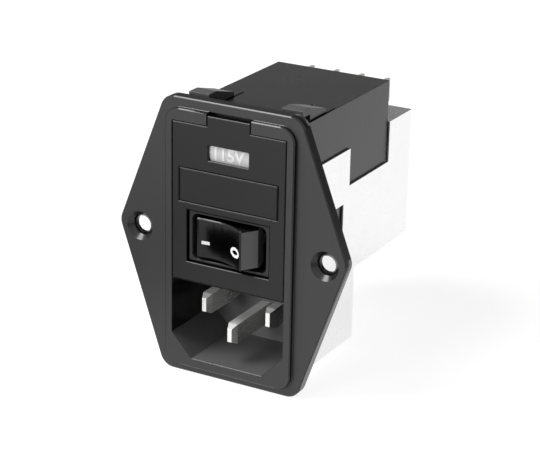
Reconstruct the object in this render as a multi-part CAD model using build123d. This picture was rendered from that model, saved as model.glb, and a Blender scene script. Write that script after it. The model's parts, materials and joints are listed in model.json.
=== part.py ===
"""Power entry module: mains inlet, rocker switch, fuse drawer with voltage selector, and filter can.

Frame: origin midway between the two screw holes, on the back face of the flange (the face that
lies on the panel). X to the right as seen from the front, +Y into the equipment, +Z up.
Millimetres.
"""
import math
import os

from build123d import *

# Flange and bezel
screw_spacing = 40.0
ear_axis_z = 0.0
ear_margin = 4.6
screw_hole_d = 3.4
countersink_d = 5.8
flange_t = 2.4
flange_top_rise = 1.9
flange_bottom_z = -28.05
flange_top_margin = 0.65
flange_bottom_margin = 0.95
ear_tip_z = 0.6
flange_corner_r = 3.0
flange_edge = 0.2
bezel_side = 1.55
bezel_rise = 1.0
bezel_bottom_z = -26.5
bezel_corner_r = 3.0
bezel_proud = 1.0
bezel_edge = 0.2

# Mains inlet, cavity sizes at its mouth
inlet_w = 24.4
inlet_top_z = -8.6
inlet_h = 16.0
inlet_chamfer_x = 4.5
inlet_chamfer_z = 4.7
inlet_depth = 15.4
inlet_draft_deg = 1.0
inlet_back_t = 1.2
shroud_wall = 0.32
pin_spacing = 14.0
pin_t = 2.0
pin_h = 4.0
pin_row_z = -14.47
earth_pin_drop = 4.0
line_pin_recess = 3.4
earth_pin_recess = 1.2
pin_tail_len = 5.5
pin_tail_h = 2.8
pin_tail_t = 0.8
pin_nose_len = 1.4
pin_tip_t = 0.9
pin_tip_h = 2.7

# Selector box behind the upper half of the flange
box_top_z = 24.3
box_bottom_z = 6.4
box_depth = 37.8
box_wall = 1.2
latch_w = 4.4
latch_edge = 0.42
latch_front_y = 2.5
latch_flat = 2.9
latch_ridge_rise = 2.6
latch_heel_rise = 0.9
latch_ramp = 6.2
latch_heel = 0.3
latch_tongue = 12.9
latch_neck_rise = 1.3
latch_neck_cut = 0.9
latch_gap = 0.8
latch_slit = 0.35
plate_t = 1.4

# Filter can, folded sheet steel
can_wall = 0.45
can_low_depth = 24.05
can_rear_bottom_z = -10.7
can_rear_depth = 47.8
can_rear_top_z = 15.9
can_side_top_z = 15.0
can_step_y = 20.8
can_step_z = 7.5
can_window_y = 12.5
can_window_len = 6.0
can_window_z = -1.1
can_window_h = 5.3
arm_overrun = 1.0
arm_margin = 1.5
arm_top_gap = 0.3
snap_play = 0.2

# Fuse drawer and its cover
cover_t = 1.45
cover_drop = 1.42
cover_tab_w = 9.38
cover_tab_rise = 1.9
cover_gap = 0.15
tab_slot_skin = 0.6
window_margin = 0.43
window_h = 3.0
window_z = 17.7
window_web = 0.3
label_margin = 1.57
label_h = 6.83
label_z = 10.6
label_line = 0.2
label_depth = 0.1
switch_hole_w = 17.86
switch_hole_h = 10.5
drawer_side_gap = 0.42
drawer_floor_z = 11.9
drawer_floor_t = 0.8
drawer_len = 23.5
drawer_slot_gap = 0.3
cheek_t = 0.6
cheek_overhang = 0.6
drum_r = 4.7
drum_side_gap = 0.2
drum_face_gap = 0.2
drum_shaft_r = 1.5
drum_grooves = 4
drum_groove_w = 0.7

# Fuses, 5 x 20
fuse_len = 20.0
fuse_cap_r = 2.6
fuse_glass_r = 2.5
fuse_glass_wall = 0.5
fuse_cap_len = 5.0
fuse_cap_end = 0.3
fuse_wire_t = 0.3
fuse_side_gap = 0.1
fuse_z = 16.4
fuse_front_y = 1.0
rib_t = 1.2

# Rocker switch
switch_z = 0.575
switch_nose_gap = 0.25
switch_recess = 0.6
switch_side_gap = 1.32
switch_body_half_h = 5.6
switch_body_depth = 13.5
switch_back_t = 1.2
switch_well_half_w = 7.95
switch_well_half_h = 4.5
switch_well_r = 1.2
switch_well_y = 8.2
switch_bay_half_w = 6.9
switch_bay_wall = 0.8
rocker_pivot_y = 2.64
rocker_half_chord = 5.5
rocker_reach = 7.35
rocker_hollow = 1.32
rocker_shoulder_x = 6.95
rocker_shoulder_y = 3.85
rocker_skirt_x = 5.6
rocker_skirt_y = 0.6
rocker_half_h = 4.0
rocker_skirt_step = 1.0
rocker_edge = 0.3
rocker_swing = 22.0
rocker_shaft_r = 1.2
rocker_shaft_len = 0.7
rocker_leg_half_w = 2.2
rocker_leg_y = 3.2
plunger_r = 1.15
plunger_reach = 7.25
plunger_head = 4.2
plunger_nose = 0.6
spring_r = 0.9
spring_wire = 0.35
spring_turns = 2
pole_offset = 2.1
lever_half_len = 5.4
lever_t = 0.5
lever_w = 2.4
lever_swing = 16.0
lever_clear = 0.05
contact_r = 1.0
contact_t = 0.4
contact_x = 4.4
contact_gap = 0.12
strip_t = 0.8
strip_tail = 5.0

# Blades at the back
tab_h = 4.8
tab_top_z = 22.3
tab_t = 0.8
tab_reach = 8.0
tab_root_y = 33.0
tab_hole_d = 1.7
tab_hole_back = 2.4
tab_bevel = 0.24
fuse_tab_shift = 0.4
clip_t = 0.25
clip_h = 3.0
clip_inset = 0.5
pad_w = 3.6
pad_h = 4.4
pad_rise = 2.6
neck_h = 2.0
finger_h = 1.0
finger_inset = 1.9
earth_tab_w = 6.3
earth_tab_len = 8.0
earth_hole_back = 3.2
earth_foot_h = 6.0
earth_tab_z = 1.0

# Filter parts on their board
board_side_gap = 0.65
board_front_gap = 1.15
board_rear_gap = 0.55
board_t = 1.0
core_wall = 3.0
core_len = 6.0
core_gap = 0.3
core_front_gap = 1.0
wire_layer = 0.8
winding_arc_deg = 120.0
x_cap_side_gap = 2.9
x_cap_t = 4.6
x_cap_h = 12.0
x_cap_corner_r = 0.5
y_cap_r = 3.0
y_cap_t = 2.0
y_cap_front_gap = 1.3
resistor_r = 1.2
resistor_gap = 0.5
resistor_len = 6.5

# Clearances between pieces that fit together
fit_gap = 0.05
seat_gap = 0.03

# How far a cut runs past the face it opens, and the band in which an edge counts as on a plane
cut_over = 1.0
hair = 0.001

# Places worked out from the sizes above
front_y = -flange_t - bezel_proud
bezel_top_z = box_top_z + bezel_rise
flange_top_z = bezel_top_z + flange_top_rise
cover_top_z = box_top_z - cover_drop
ledge_y = front_y + cover_t + fit_gap
drum_y = front_y + window_web + drum_face_gap + drum_r
ear_tip_x = screw_spacing / 2 + ear_margin
bezel_w = inlet_w + 2 * bezel_side
inlet_bottom_z = inlet_top_z - inlet_h
box_half_w = inlet_w / 2 + shroud_wall
can_in = box_half_w + seat_gap
can_half_w = can_in + can_wall
can_bottom_z = inlet_bottom_z - shroud_wall - seat_gap - can_wall
drawer_half_w = box_half_w - box_wall - drawer_side_gap
fuse_x = drawer_half_w - fuse_side_gap - fuse_cap_r
fuse_tab_x = fuse_x + fuse_tab_shift
cheek_x = fuse_x - fuse_cap_r - fit_gap - cheek_t
drum_half_w = cheek_x - drum_side_gap
selector_tab_x = drum_half_w - finger_inset
window_w = 2 * (drum_half_w - window_margin)
label_w = inlet_w - 2 * label_margin
switch_body_half_w = box_half_w - box_wall - switch_side_gap
latch_outer_x = box_half_w - latch_edge
latch_inner_x = latch_outer_x - latch_w
inlet_end_y = front_y + inlet_depth
shroud_end_y = inlet_end_y + inlet_back_t
earth_row_z = pin_row_z - earth_pin_drop
nose_y = front_y + switch_recess
lever_y = rocker_pivot_y + plunger_reach + lever_clear
lever_pivot_y = lever_y + lever_t
switch_floor_y = switch_body_depth - switch_back_t
board_top_z = can_rear_bottom_z + can_wall + board_t
board_half_w = can_in - board_side_gap
board_y = can_low_depth + board_front_gap
board_end_y = can_rear_depth - can_wall - board_rear_gap
core_r = (box_bottom_z - board_top_z) / 2 - wire_layer - core_gap
core_bore_r = core_r - core_wall
core_y = board_y + core_front_gap + wire_layer
core_z = board_top_z + wire_layer + core_r
x_cap_w = 2 * (board_half_w - x_cap_side_gap)
y_cap_y = board_y + y_cap_front_gap + y_cap_r


def block(x0, x1, y0, y1, z0, z1):
    """A box between two corners."""
    centre = Pos((x0 + x1) / 2, (y0 + y1) / 2, (z0 + z1) / 2)
    return centre * Box(x1 - x0, y1 - y0, z1 - z0)


def upright(points):
    """A face in the XZ plane through a list of (x, z) points."""
    return make_face(Polyline(*[(x, 0, z) for x, z in points], close=True))


def slab(face, y0, y1):
    """An upright face pushed along Y, from y0 to y1."""
    return extrude(Pos(0, y0, 0) * face, amount=y1 - y0, dir=(0, 1, 0))


def rod(r, x=0.0, y=0.0, z=0.0, length=1.0, along="Y"):
    """A round bar that starts at a point and runs along one axis."""
    turn = {"X": Rot(0, 90, 0), "Y": Rot(-90, 0, 0), "Z": Rot(0, 0, 0)}[along]
    return Pos(x, y, z) * turn * Cylinder(r, length, align=(Align.CENTER, Align.CENTER, Align.MIN))


def rounded_plate(w, h, r, z, y0, y1):
    """A plate with rounded corners, upright, between y0 and y1."""
    return slab(Pos(0, 0, z) * (Plane.XZ * RectangleRounded(w, h, r)), y0, y1)


def edges_at_y(part, y):
    """The edges that lie in one plane across Y."""
    return part.edges().filter_by_position(Axis.Y, y - hair, y + hair)


def inlet_outline(grow=0.0):
    """The six-sided opening of the inlet, grown outward on all sides but its top."""
    half = inlet_w / 2 + grow
    bottom = inlet_bottom_z - grow
    slope = math.hypot(inlet_chamfer_x, inlet_chamfer_z)
    trim = grow * (inlet_chamfer_x + inlet_chamfer_z - slope) / inlet_chamfer_z
    cut_x = inlet_chamfer_x + trim
    cut_z = cut_x * inlet_chamfer_z / inlet_chamfer_x
    return upright([(-half, inlet_top_z), (half, inlet_top_z), (half, bottom + cut_z),
                    (half - cut_x, bottom), (cut_x - half, bottom), (-half, bottom + cut_z)])


def flange():
    """The hexagonal flange with the raised bezel on its front."""
    top_half = bezel_w / 2 + flange_top_margin
    bottom_half = bezel_w / 2 + flange_bottom_margin
    outline = upright([(-top_half, flange_top_z), (top_half, flange_top_z), (ear_tip_x, ear_tip_z),
                       (bottom_half, flange_bottom_z), (-bottom_half, flange_bottom_z),
                       (-ear_tip_x, ear_tip_z)])
    outline = fillet(outline.vertices(), flange_corner_r)
    plate = slab(outline, -flange_t, 0)
    plate = chamfer(edges_at_y(plate, -flange_t), flange_edge)
    bezel_h = bezel_top_z - bezel_bottom_z
    bezel = rounded_plate(bezel_w, bezel_h, bezel_corner_r, (bezel_top_z + bezel_bottom_z) / 2,
                          front_y, -flange_t)
    bezel = chamfer(edges_at_y(bezel, front_y), bezel_edge)
    return plate + bezel


def screw_hole(x):
    """A countersunk screw hole, cut from the front of the flange."""
    sink = (countersink_d - screw_hole_d) / 2
    cone = Pos(x, -flange_t, ear_axis_z) * Rot(-90, 0, 0) * Cone(
        countersink_d / 2, screw_hole_d / 2, sink, align=(Align.CENTER, Align.CENTER, Align.MIN))
    return cone + rod(screw_hole_d / 2, x, -flange_t, ear_axis_z, flange_t)


def cover_recess():
    """The shallow bed that the drawer's cover lies in, with the slot for its pry tab."""
    half = inlet_w / 2
    bed = block(-half, half, front_y, ledge_y, inlet_top_z, cover_top_z)
    tab_half = cover_tab_w / 2
    slot = block(-tab_half, tab_half, front_y, -tab_slot_skin, cover_top_z, bezel_top_z)
    return bed + slot


def drawer_port():
    """The way through the flange for the fuse drawer."""
    half = drawer_half_w + drawer_slot_gap
    return block(-half, half, ledge_y, 0, drawer_floor_z - drawer_slot_gap, cover_top_z)


def switch_port():
    """The way through the flange for the nose of the switch."""
    half_w = switch_hole_w / 2 - switch_nose_gap + fit_gap
    half_h = switch_hole_h / 2 - switch_nose_gap + fit_gap
    return block(-half_w, half_w, ledge_y, 0, switch_z - half_h, switch_z + half_h)


def inlet_shroud():
    """The tub behind the flange that surrounds the inlet's pins."""
    tub = slab(inlet_outline(shroud_wall), 0, shroud_end_y)
    roof = block(-box_half_w, box_half_w, 0, shroud_end_y, inlet_top_z, inlet_top_z + box_wall)
    return tub + roof


def inlet_cavity():
    """The room inside the inlet, drawn in slightly towards its back."""
    face = Pos(0, front_y, 0) * inlet_outline()
    return extrude(face, amount=inlet_depth, dir=(0, 1, 0), taper=inlet_draft_deg)


def pin_slot(x, z):
    """The hole in the inlet's back wall that one pin passes through."""
    return block(x - pin_t / 2 - seat_gap, x + pin_t / 2 + seat_gap, inlet_end_y - cut_over,
                 shroud_end_y,
                 z - pin_h / 2 - seat_gap, z + pin_h / 2 + seat_gap)


def can_arm(side):
    """A springy arm beside the switch, with the ramp that snaps into the can's window."""
    inner = box_half_w - box_wall
    end_y = can_window_y + can_window_len + arm_overrun
    arm = block(inner, box_half_w, 0, end_y, can_window_z - arm_margin, box_bottom_z - arm_top_gap)
    catch_y = can_window_y + snap_play
    ramp = make_face(Polyline((box_half_w, catch_y, 0), (can_half_w, catch_y, 0),
                              (box_half_w, can_window_y + can_window_len - snap_play, 0), close=True))
    ramp = extrude(Pos(0, 0, can_window_z + snap_play) * ramp, amount=can_window_h - 2 * snap_play)
    arm = arm + ramp
    return arm if side > 0 else mirror(arm, Plane.YZ)


def front_housing():
    """The front moulding: flange, bezel, inlet shroud and the two arms that hold the can."""
    part = flange() + inlet_shroud() + can_arm(1) + can_arm(-1)
    part = part - cover_recess() - drawer_port() - switch_port() - inlet_cavity()
    for side in (-1, 1):
        part = part - screw_hole(side * screw_spacing / 2)
        part = part - pin_slot(side * pin_spacing / 2, pin_row_z)
    return part - pin_slot(0, earth_row_z)


def inlet_pin(x, z, recess):
    """One bevelled blade of the inlet with the narrower tail behind the wall."""
    tip_y = front_y + recess
    root_y = tip_y + pin_nose_len
    blade = block(x - pin_t / 2, x + pin_t / 2, root_y, shroud_end_y, z - pin_h / 2, z + pin_h / 2)
    tip = Pos(x, tip_y, z) * Rot(90, 0, 0) * Rectangle(pin_tip_t, pin_tip_h)
    root = Pos(x, root_y, z) * Rot(90, 0, 0) * Rectangle(pin_t, pin_h)
    blade = blade + loft([tip.face(), root.face()])
    tail = block(x - pin_tail_t / 2, x + pin_tail_t / 2, shroud_end_y, shroud_end_y + pin_tail_len,
                 z - pin_tail_h / 2, z + pin_tail_h / 2)
    return blade + tail


def latch(side):
    """A snap latch on top of the selector box: a head on a neck, with a ramp behind it, on a tongue."""
    foot_z = box_top_z - box_wall
    ridge_y = latch_front_y + latch_flat
    heel_y = ridge_y + latch_ramp
    ridge_z = box_top_z + latch_ridge_rise
    wedge = side_profile([(latch_front_y, foot_z), (latch_front_y, ridge_z), (ridge_y, ridge_z),
                          (heel_y, box_top_z + latch_heel_rise), (heel_y + latch_heel, box_top_z),
                          (heel_y + latch_heel, foot_z)], latch_w / 2)
    neck = latch_w / 2 - latch_neck_cut
    for x0, x1 in ((-latch_w / 2, -neck), (neck, latch_w / 2)):
        wedge = wedge - block(x0, x1, latch_front_y, ridge_y, box_top_z,
                              box_top_z + latch_neck_rise)
    return Pos(side * (latch_inner_x + latch_outer_x) / 2, 0, 0) * wedge


def latch_cuts(side):
    """The slit round three sides of a latch, which leaves its tongue springy."""
    y0 = latch_front_y - latch_gap
    y1 = latch_front_y + latch_tongue
    x0 = latch_inner_x - latch_slit
    x1 = latch_outer_x + latch_slit
    frame = block(x0, x1, y0, y1, box_top_z - box_wall, box_top_z)
    tongue = block(latch_inner_x, latch_outer_x, latch_front_y, y1, box_top_z - box_wall, box_top_z)
    cuts = frame - tongue
    return cuts if side > 0 else mirror(cuts, Plane.YZ)


def selector_housing():
    """The black box behind the upper flange, open at its front and back."""
    part = block(-box_half_w, box_half_w, 0, box_depth, box_bottom_z, box_top_z)
    inner = box_half_w - box_wall
    part = part - block(-inner, inner, 0, box_depth, box_bottom_z + box_wall, box_top_z - box_wall)
    for side in (-1, 1):
        part = part - latch_cuts(side) + latch(side)
    return part


def terminal_plate():
    """The plate that closes the back of the selector box and holds the blades."""
    inner = box_half_w - box_wall - seat_gap
    part = block(-inner, inner, box_depth - plate_t, box_depth,
                 box_bottom_z + box_wall + seat_gap, box_top_z - box_wall - seat_gap)
    for x in (-fuse_tab_x, -selector_tab_x, selector_tab_x, fuse_tab_x):
        part = part - block(x - tab_t / 2 - seat_gap, x + tab_t / 2 + seat_gap,
                            box_depth - plate_t, box_depth,
                            tab_top_z - tab_h - seat_gap, tab_top_z + seat_gap)
    return part


def filter_case():
    """The folded steel can: two stepped sides, the floors, the back walls and the rear roof."""
    outline = [(0, can_bottom_z), (can_low_depth, can_bottom_z), (can_low_depth, can_rear_bottom_z),
               (can_rear_depth, can_rear_bottom_z), (can_rear_depth, can_rear_top_z),
               (box_depth + fit_gap, can_rear_top_z), (box_depth + fit_gap, can_step_z),
               (can_step_y, can_step_z), (can_step_y, can_side_top_z), (0, can_side_top_z)]
    room = [(-cut_over, can_bottom_z + can_wall), (can_low_depth - can_wall, can_bottom_z + can_wall),
            (can_low_depth - can_wall, can_rear_bottom_z + can_wall),
            (can_rear_depth - can_wall, can_rear_bottom_z + can_wall),
            (can_rear_depth - can_wall, can_rear_top_z - can_wall),
            (box_depth - cut_over, can_rear_top_z - can_wall),
            (box_depth - cut_over, can_rear_top_z + cut_over), (-cut_over, can_rear_top_z + cut_over)]
    solid = side_profile(outline, can_half_w) - side_profile(room, can_in)
    window = block(-can_half_w, can_half_w, can_window_y, can_window_y + can_window_len,
                   can_window_z, can_window_z + can_window_h)
    return solid - window


def side_profile(points, half_w):
    """A (y, z) outline pushed out to both sides of the centre plane."""
    face = make_face(Polyline(*[(0, y, z) for y, z in points], close=True))
    return extrude(Pos(-half_w, 0, 0) * face, amount=2 * half_w, dir=(1, 0, 0))


def earth_tab():
    """The earth blade, an angle of tinned brass welded to the can's back wall."""
    half = earth_tab_w / 2
    y = can_rear_depth
    foot = block(-half, half, y, y + tab_t, earth_tab_z - earth_foot_h, earth_tab_z)
    blade = block(-half, half, y, y + tab_t + earth_tab_len, earth_tab_z - tab_t, earth_tab_z)
    tip_y = y + tab_t + earth_tab_len
    blade = chamfer(edges_at_y(blade, tip_y), tab_bevel)
    hole = rod(tab_hole_d / 2, 0, tip_y - earth_hole_back, earth_tab_z - tab_t, tab_t, "Z")
    return foot + blade - hole


def fuse_cover():
    """The drawer's front: a flat panel with a pry tab, a window and the hole for the switch."""
    half = inlet_w / 2 - cover_gap
    back = front_y + cover_t
    part = block(-half, half, front_y, back, inlet_top_z + cover_gap, cover_top_z - cover_gap)
    tab_half = cover_tab_w / 2 - cover_gap
    part = part + block(-tab_half, tab_half, front_y, back, cover_top_z - cover_gap,
                        cover_top_z + cover_tab_rise)
    part = part - block(-window_w / 2, window_w / 2, front_y, back,
                        window_z - window_h / 2, window_z + window_h / 2)
    part = part - block(-switch_hole_w / 2, switch_hole_w / 2, front_y, back,
                        switch_z - switch_hole_h / 2, switch_z + switch_hole_h / 2)
    return part - label_groove() - drum_pocket()


def drum_pocket():
    """The hollow behind the window that leaves a thin web in front of the drum."""
    half = drum_half_w + drum_side_gap
    return rod(drum_r + drum_face_gap, -half, drum_y, window_z, 2 * half, "X")


def label_groove():
    """The fine sunk line round the bare label field."""
    outer = block(-label_w / 2, label_w / 2, front_y, front_y + label_depth,
                  label_z - label_h / 2, label_z + label_h / 2)
    inner = block(-label_w / 2 + label_line, label_w / 2 - label_line, front_y, front_y + label_depth,
                  label_z - label_h / 2 + label_line, label_z + label_h / 2 - label_line)
    return outer - inner


def fuse_carrier():
    """The moulded tray behind the cover: floor, end blocks, cradle ribs and the drum's cheeks."""
    y0 = front_y + cover_t
    floor_top = drawer_floor_z + drawer_floor_t
    part = block(-drawer_half_w, drawer_half_w, y0, y0 + drawer_len, drawer_floor_z, floor_top)
    for side in (-1, 1):
        stop = block(cheek_x, drawer_half_w, y0, fuse_front_y, floor_top, fuse_z + fuse_cap_r)
        cheek = block(cheek_x, cheek_x + cheek_t, y0, drum_y + drum_r + cheek_overhang, floor_top,
                      cover_top_z - 2 * drawer_slot_gap)
        holder = stop + cheek
        for y in (fuse_front_y + fuse_cap_len, fuse_front_y + fuse_len - fuse_cap_len - rib_t):
            rib = block(cheek_x + cheek_t, drawer_half_w, y, y + rib_t, floor_top, fuse_z)
            holder = holder + rib
        bed = rod(fuse_cap_r + fit_gap, fuse_x, fuse_front_y, fuse_z, fuse_len)
        bearing = rod(drum_shaft_r + fit_gap, cheek_x, drum_y, window_z, cheek_t, "X")
        holder = holder - bed - bearing
        part = part + (holder if side > 0 else mirror(holder, Plane.YZ))
    return part


def voltage_drum():
    """The selector drum with its two stub shafts and a grip groove between the number fields."""
    body = rod(drum_r, -drum_half_w, drum_y, window_z, 2 * drum_half_w, "X")
    for index in range(drum_grooves):
        angle = math.pi * (1 + 2 * index) / drum_grooves
        y = drum_y + drum_r * math.cos(angle)
        z = window_z + drum_r * math.sin(angle)
        body = body - Pos(0, y, z) * Box(2 * drum_half_w, drum_groove_w, drum_groove_w)
    shaft_half = drum_half_w + drum_side_gap + cheek_t - fit_gap
    return body + rod(drum_shaft_r, -shaft_half, drum_y, window_z, 2 * shaft_half, "X")


def fuse_cap(x, y, inward):
    """One end cap of a fuse, a cup pushed over the glass."""
    cup = rod(fuse_cap_r, x, y, fuse_z, fuse_cap_len)
    bore_y = y + fuse_cap_end if inward > 0 else y
    return cup - rod(fuse_glass_r, x, bore_y, fuse_z, fuse_cap_len - fuse_cap_end)


def fuse_tube(x):
    """The glass tube of a fuse."""
    y = fuse_front_y + fuse_cap_end
    length = fuse_len - 2 * fuse_cap_end
    return rod(fuse_glass_r, x, y, fuse_z, length) - rod(fuse_glass_r - fuse_glass_wall, x, y, fuse_z,
                                                         length)


def fuse_wire(x):
    """The fine square wire that runs through a fuse from cap to cap."""
    half = fuse_wire_t / 2
    return block(x - half, x + half, fuse_front_y + fuse_cap_end, fuse_front_y + fuse_len - fuse_cap_end,
                 fuse_z - half, fuse_z + half)


def fuse_clip(side):
    """The leaf beside a fuse's front cap, which lies along the wall of the selector box."""
    outer = box_half_w - box_wall - seat_gap
    leaf = block(outer - clip_t, outer, fuse_front_y + clip_inset, box_depth - plate_t,
                 fuse_z - clip_h / 2, fuse_z + clip_h / 2)
    return leaf if side > 0 else mirror(leaf, Plane.YZ)


def blade(x, root_y):
    """A vertical blade through the terminal plate, with a pierced and bevelled end."""
    tip_y = box_depth + tab_reach
    part = block(x - tab_t / 2, x + tab_t / 2, root_y, tip_y, tab_top_z - tab_h, tab_top_z)
    part = chamfer(edges_at_y(part, tip_y), tab_bevel)
    hole_y = tip_y - tab_hole_back
    return part - rod(tab_hole_d / 2, x - tab_t / 2, hole_y, tab_top_z - tab_h / 2, tab_t, "X")


def fuse_tab(side):
    """The contact behind a fuse and its blade, in one piece."""
    x = fuse_tab_x
    plate_y = fuse_front_y + fuse_len + drawer_slot_gap
    top_z = fuse_z + pad_rise
    pad = block(fuse_x - pad_w / 2, fuse_x + pad_w / 2, plate_y, plate_y + clip_t, top_z - pad_h, top_z)
    neck = block(x - tab_t / 2, x + tab_t / 2, plate_y + clip_t, tab_root_y, top_z - neck_h, top_z)
    part = pad + neck + blade(x, tab_root_y)
    return part if side > 0 else mirror(part, Plane.YZ)


def selector_tab(side):
    """A wiping finger behind the drum and its blade, in one piece."""
    x = selector_tab_x
    start = drum_y + drum_r + drum_face_gap
    finger = block(x - clip_t / 2, x + clip_t / 2, start, tab_root_y,
                   window_z - finger_h / 2, window_z + finger_h / 2)
    part = finger + blade(x, tab_root_y)
    return part if side > 0 else mirror(part, Plane.YZ)


def switch_body():
    """The switch's case: a nose that fills the hole in the cover, the well and the contact bays."""
    nose_w = switch_hole_w / 2 - switch_nose_gap
    nose_h = switch_hole_h / 2 - switch_nose_gap
    z = switch_z
    part = block(-nose_w, nose_w, nose_y, 0, z - nose_h, z + nose_h)
    part = part + block(-switch_body_half_w, switch_body_half_w, 0, switch_body_depth,
                        z - switch_body_half_h, z + switch_body_half_h)
    part = part - rounded_plate(2 * switch_well_half_w, 2 * switch_well_half_h, switch_well_r, z,
                                nose_y, switch_well_y)
    for pole in (-1, 1):
        centre = z + pole * pole_offset
        bay_half = pole_offset - switch_bay_wall / 2
        part = part - block(-switch_bay_half_w, switch_bay_half_w, switch_well_y, switch_floor_y,
                            centre - bay_half, centre + bay_half)
        for x in (0, contact_x):
            part = part - block(x - strip_t / 2 - seat_gap, x + strip_t / 2 + seat_gap,
                                switch_floor_y, switch_body_depth,
                                centre - lever_w / 2 - seat_gap, centre + lever_w / 2 + seat_gap)
    depth = switch_well_half_h + rocker_shaft_len + 2 * fit_gap
    return part - rod(rocker_shaft_r + fit_gap, 0, rocker_pivot_y, z - depth, 2 * depth, "Z")


def turned(part, angle, y):
    """A piece turned about an upright axis on the centre plane."""
    return Pos(0, y, 0) * Rot(0, 0, angle) * Pos(0, -y, 0) * part


def rocker():
    """The rocker, hollow-fronted, turned to its rest with the left half pressed in."""
    reach = rocker_pivot_y - rocker_reach
    shoulder = rocker_pivot_y - rocker_shoulder_y
    skirt = rocker_pivot_y - rocker_skirt_y
    leg = rocker_pivot_y + rocker_leg_y
    face = ThreePointArc((-rocker_half_chord, reach, 0), (0, reach + rocker_hollow, 0),
                         (rocker_half_chord, reach, 0))
    back = Polyline((rocker_half_chord, reach, 0), (rocker_shoulder_x, shoulder, 0),
                    (rocker_skirt_x, skirt, 0), (rocker_leg_half_w, skirt + rocker_skirt_step, 0),
                    (rocker_leg_half_w, leg, 0), (-rocker_leg_half_w, leg, 0),
                    (-rocker_leg_half_w, skirt + rocker_skirt_step, 0), (-rocker_skirt_x, skirt, 0),
                    (-rocker_shoulder_x, shoulder, 0), (-rocker_half_chord, reach, 0))
    part = extrude(Pos(0, 0, switch_z - rocker_half_h) * make_face([face, back]),
                   amount=2 * rocker_half_h, dir=(0, 0, 1))
    rim = part.edges().filter_by_position(Axis.Y, reach - hair, shoulder - hair)
    part = chamfer(rim, rocker_edge)
    half = switch_well_half_h + rocker_shaft_len
    part = part + rod(rocker_shaft_r, 0, rocker_pivot_y, switch_z - half, 2 * half, "Z")
    for pole in (-1, 1):
        bore_y = rocker_pivot_y - rocker_skirt_y
        part = part - rod(plunger_r + fit_gap, 0, bore_y, switch_z + pole * pole_offset,
                          leg - bore_y)
    return turned(part, -rocker_swing / 2, rocker_pivot_y)


def plunger(pole):
    """The blunt-nosed pin that one contact lever is pushed with."""
    tip_y = rocker_pivot_y + plunger_reach
    part = rod(plunger_r, 0, tip_y - plunger_head, switch_z + pole * pole_offset, plunger_head)
    part = chamfer(edges_at_y(part, tip_y), plunger_nose)
    return turned(part, -rocker_swing / 2, rocker_pivot_y)


def plunger_spring(pole):
    """The coil spring behind one plunger, in the rocker's bore, of square wire."""
    start = rocker_pivot_y - rocker_skirt_y + spring_wire
    end = rocker_pivot_y + plunger_reach - plunger_head - spring_wire
    pitch = (end - start) / spring_turns
    path = Helix(pitch=pitch, height=end - start, radius=spring_r)
    coil = sweep(Plane(origin=path @ 0, z_dir=path % 0) * Rectangle(spring_wire, spring_wire), path=path)
    coil = Pos(0, start, switch_z + pole * pole_offset) * Rot(-90, 0, 0) * coil
    return turned(coil, -rocker_swing / 2, rocker_pivot_y)


def contact_lever(pole):
    """The see-saw contact of one pole, with a contact at each end."""
    z = switch_z + pole * pole_offset
    part = block(-lever_half_len, lever_half_len, lever_y, lever_pivot_y, z - lever_w / 2, z + lever_w / 2)
    for side in (-1, 1):
        part = part + rod(contact_r, side * contact_x, lever_pivot_y, z, contact_t)
    return turned(part, lever_swing / 2, lever_pivot_y)


def pivot_strip(pole):
    """The middle terminal of one pole, with the edge that its lever rocks on."""
    z = switch_z + pole * pole_offset
    tip = lever_pivot_y + lever_clear
    half = strip_t / 2
    face = make_face(Polyline((0, tip, 0), (half, tip + half, 0), (half, switch_body_depth + strip_tail, 0),
                              (-half, switch_body_depth + strip_tail, 0), (-half, tip + half, 0), close=True))
    return extrude(Pos(0, 0, z - lever_w / 2) * face, amount=lever_w, dir=(0, 0, 1))


def contact_strip(pole):
    """The end terminal of one pole, with the fixed contact on its foot."""
    z = switch_z + pole * pole_offset
    swing = math.radians(lever_swing / 2)
    low = (contact_x + contact_r) * math.sin(swing) + contact_t * math.cos(swing)
    top = lever_pivot_y + low + contact_gap
    foot_t = lever_t
    foot = block(contact_x - contact_r, contact_x + contact_r, switch_floor_y - foot_t, switch_floor_y,
                 z - lever_w / 2, z + lever_w / 2)
    tail = block(contact_x - strip_t / 2, contact_x + strip_t / 2, switch_floor_y,
                 switch_body_depth + strip_tail, z - lever_w / 2, z + lever_w / 2)
    stud = rod(contact_r, contact_x, top, z, switch_floor_y - foot_t - top)
    return foot + tail + stud


def filter_board():
    """The board that carries the filter's parts."""
    return block(-board_half_w, board_half_w, board_y, board_end_y, board_top_z - board_t, board_top_z)


def ring(r_out, r_in, y0, y1):
    """A ring round the choke's axis, which runs front to back."""
    return rod(r_out, 0, y0, core_z, y1 - y0) - rod(r_in, 0, y0, core_z, y1 - y0)


def choke_core():
    """The ferrite ring of the choke, standing on edge."""
    return ring(core_r, core_bore_r, core_y, core_y + core_len)


def choke_winding(side):
    """One winding of the choke, a sleeve of wire round a third of the ring."""
    y0 = core_y - wire_layer
    y1 = core_y + core_len + wire_layer
    sleeve = ring(core_r + wire_layer, core_bore_r - wire_layer, y0, y1)
    half = math.radians(winding_arc_deg / 2)
    far_x = 2 * core_r * math.cos(half)
    far_z = 2 * core_r * math.sin(half)
    wedge = upright([(0, core_z), (far_x, core_z + far_z), (far_x, core_z - far_z)])
    part = (sleeve & slab(wedge, y0, y1)) - choke_core()
    return part if side > 0 else mirror(part, Plane.YZ)


def x_capacitor():
    """The box-shaped capacitor across the line."""
    part = block(-x_cap_w / 2, x_cap_w / 2, board_end_y - x_cap_t, board_end_y,
                 board_top_z, board_top_z + x_cap_h)
    return fillet(part.edges().filter_by(Axis.Z), x_cap_corner_r)


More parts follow.
